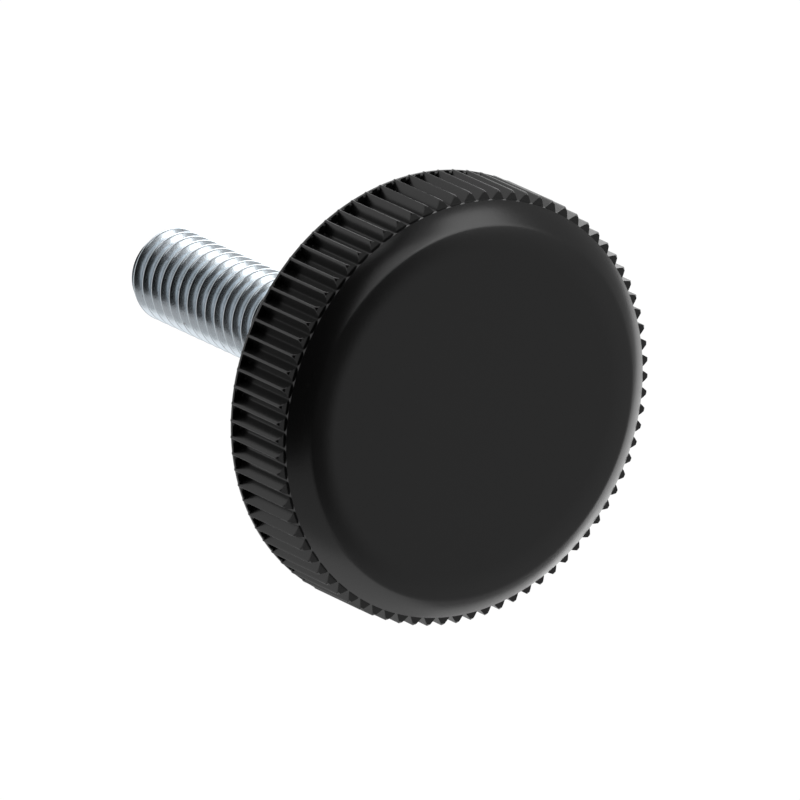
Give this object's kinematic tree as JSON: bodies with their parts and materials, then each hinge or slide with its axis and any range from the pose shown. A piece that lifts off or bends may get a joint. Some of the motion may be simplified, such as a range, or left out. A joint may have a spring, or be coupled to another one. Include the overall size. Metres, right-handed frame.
{
  "type": "knurled knob with threaded stud",
  "caption": "Round knurled hand knob with a flat face, a moulded plastic head and a threaded steel stud for clamping or adjusting.",
  "frame": {"origin": "centre of the hub's seating face, on the knob's axis, where the stud leaves the hub", "axes": "+Z along the knob's axis, out through the flat front face; the stud points along -Z"},
  "size_m": [0.028, 0.028, 0.0345],
  "materials": {
    "moulded_plastic": "black thermoset moulding, satin with glossy edges",
    "zinc_plated_steel": "bright bluish zinc plating"
  },
  "bodies": {
    "root": {"knob_head": "moulded_plastic", "threaded_stud": "zinc_plated_steel"}
  },
  "joints": []
}
